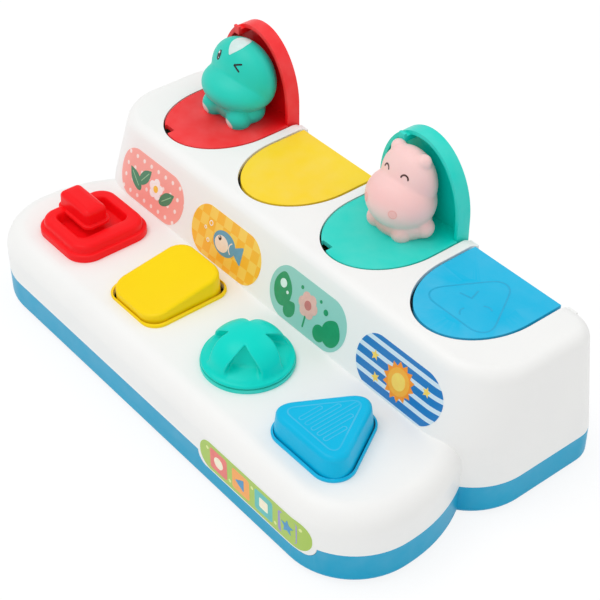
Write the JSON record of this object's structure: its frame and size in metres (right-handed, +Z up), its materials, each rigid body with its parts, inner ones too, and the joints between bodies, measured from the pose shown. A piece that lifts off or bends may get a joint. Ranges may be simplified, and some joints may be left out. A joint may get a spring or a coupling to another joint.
{
  "type": "pop up animal toy",
  "caption": "Baby toy with a low control deck and a raised block of hinged lids that pop up animal figures when a slide, rocker, dial or button is worked.",
  "frame": {"origin": "bottom centre of the whole toy, on the table under its middle", "axes": "+X along the row of controls from the red switch to the blue button, -Y towards the player, +Z up"},
  "size_m": [0.3096, 0.1614, 0.1284],
  "materials": {
    "housing_white": "satin",
    "base_blue": "satin",
    "foot_rubber": "matt",
    "steel": "satin",
    "rotor_red": "satin",
    "rotor_yellow": "satin",
    "rotor_teal": "satin",
    "rotor_blue": "satin",
    "dino_teal": "soft touch, paint in white, brown and blush",
    "hippo_pink": "soft touch, paint in dark brown and blush",
    "chick_yellow": "soft touch, painted",
    "cub_orange": "soft touch, painted",
    "latch_white": "matt",
    "red": "satin",
    "yellow": "satin",
    "teal": "satin",
    "blue": "satin",
    "label_pink": "printed film",
    "label_orange": "printed film",
    "label_green": "printed film",
    "label_navy": "printed film",
    "label_lime": "printed film"
  },
  "bodies": {
    "case": {"housing": "housing_white", "base_shell": "base_blue", "feet": "foot_rubber", "screws": "steel", "hinge_pins": "steel", "torsion_springs": "steel", "latch_springs": "steel", "latch_cover": "latch_white", "switch_bezel": "red", "rocker_base": "yellow", "rocker_pin": "steel", "dial_base": "teal", "button_base": "blue", "button_spring": "steel", "label_pink": "label_pink", "label_orange": "label_orange", "label_green": "label_green", "label_navy": "label_navy", "label_tab": "label_lime"},
    "red_rotor": {"rotor_red": "rotor_red", "figure_dino": "dino_teal"},
    "yellow_rotor": {"rotor_yellow": "rotor_yellow", "figure_chick": "chick_yellow"},
    "teal_rotor": {"rotor_teal": "rotor_teal", "figure_hippo": "hippo_pink"},
    "blue_rotor": {"rotor_blue": "rotor_blue", "figure_cub": "cub_orange"},
    "red_latch": {"latch_red": "latch_white"},
    "yellow_latch": {"latch_yellow": "latch_white"},
    "teal_latch": {"latch_teal": "latch_white"},
    "blue_latch": {"latch_blue": "latch_white"},
    "slide_switch": {"switch_knob": "red", "switch_plate": "latch_white"},
    "rocker_key": {"rocker": "yellow"},
    "turning_dial": {"dial": "teal", "dial_crank": "latch_white"},
    "push_button": {"button": "blue"}
  },
  "joints": [
    {"name": "red_lid", "type": "hinge", "parent": "case", "child": "red_rotor", "pos_m": [-0.099, 0.06815, 0.07335], "axis": [-1, 0, 0], "range_deg": [-90, 0], "stiffness_Nm_per_rad": 0.02, "springref_deg": 57.3},
    {"name": "yellow_lid", "type": "hinge", "parent": "case", "child": "yellow_rotor", "pos_m": [-0.033, 0.06815, 0.07335], "axis": [-1, 0, 0], "range_deg": [0, 90]},
    {"name": "teal_lid", "type": "hinge", "parent": "case", "child": "teal_rotor", "pos_m": [0.033, 0.06815, 0.07335], "axis": [-1, 0, 0], "range_deg": [-90, 0], "stiffness_Nm_per_rad": 0.02, "springref_deg": 57.3},
    {"name": "blue_lid", "type": "hinge", "parent": "case", "child": "blue_rotor", "pos_m": [0.099, 0.06815, 0.07335], "axis": [-1, 0, 0], "range_deg": [0, 90]},
    {"name": "switch_slide", "type": "slide", "parent": "case", "child": "slide_switch", "axis": [1, 0, 0], "range_m": [0, 0.012], "stiffness_N_per_m": 15, "springref_m": -0.01},
    {"name": "rocker_tilt", "type": "hinge", "parent": "case", "child": "rocker_key", "pos_m": [-0.03435, -0.03875, 0.0385], "axis": [-1, 0, 0], "range_deg": [0, 10], "stiffness_Nm_per_rad": 0.05, "springref_deg": -11.46},
    {"name": "dial_turn", "type": "hinge", "parent": "case", "child": "turning_dial", "pos_m": [0.033, -0.0401, 0.045], "axis": [0, 0, -1], "range_deg": [0, 60], "stiffness_Nm_per_rad": 0.004, "springref_deg": -34.38},
    {"name": "button_press", "type": "slide", "parent": "case", "child": "push_button", "axis": [0, 0, -1], "range_m": [0, 0.005], "stiffness_N_per_m": 200, "springref_m": -0.004, "deforming": ["button_spring"]},
    {"name": "red_latch_slide", "type": "slide", "parent": "case", "child": "red_latch", "axis": [0, -1, 0], "range_m": [0, 0.0031]},
    {"name": "yellow_latch_slide", "type": "slide", "parent": "case", "child": "yellow_latch", "axis": [0, -1, 0], "range_m": [0, 0.0031]},
    {"name": "teal_latch_slide", "type": "slide", "parent": "case", "child": "teal_latch", "axis": [0, -1, 0], "range_m": [0, 0.0033]},
    {"name": "blue_latch_slide", "type": "slide", "parent": "case", "child": "blue_latch", "axis": [0, -1, 0], "range_m": [0, 0.0031]}
  ],
  "couplings": [
    {"joint": "red_latch_slide", "follows": "switch_slide", "ratio": 0.25},
    {"joint": "yellow_latch_slide", "follows": "rocker_tilt", "m_per_rad": 0.016},
    {"joint": "teal_latch_slide", "follows": "dial_turn", "m_per_rad": 0.0030558},
    {"joint": "blue_latch_slide", "follows": "button_press", "ratio": 0.6}
  ]
}
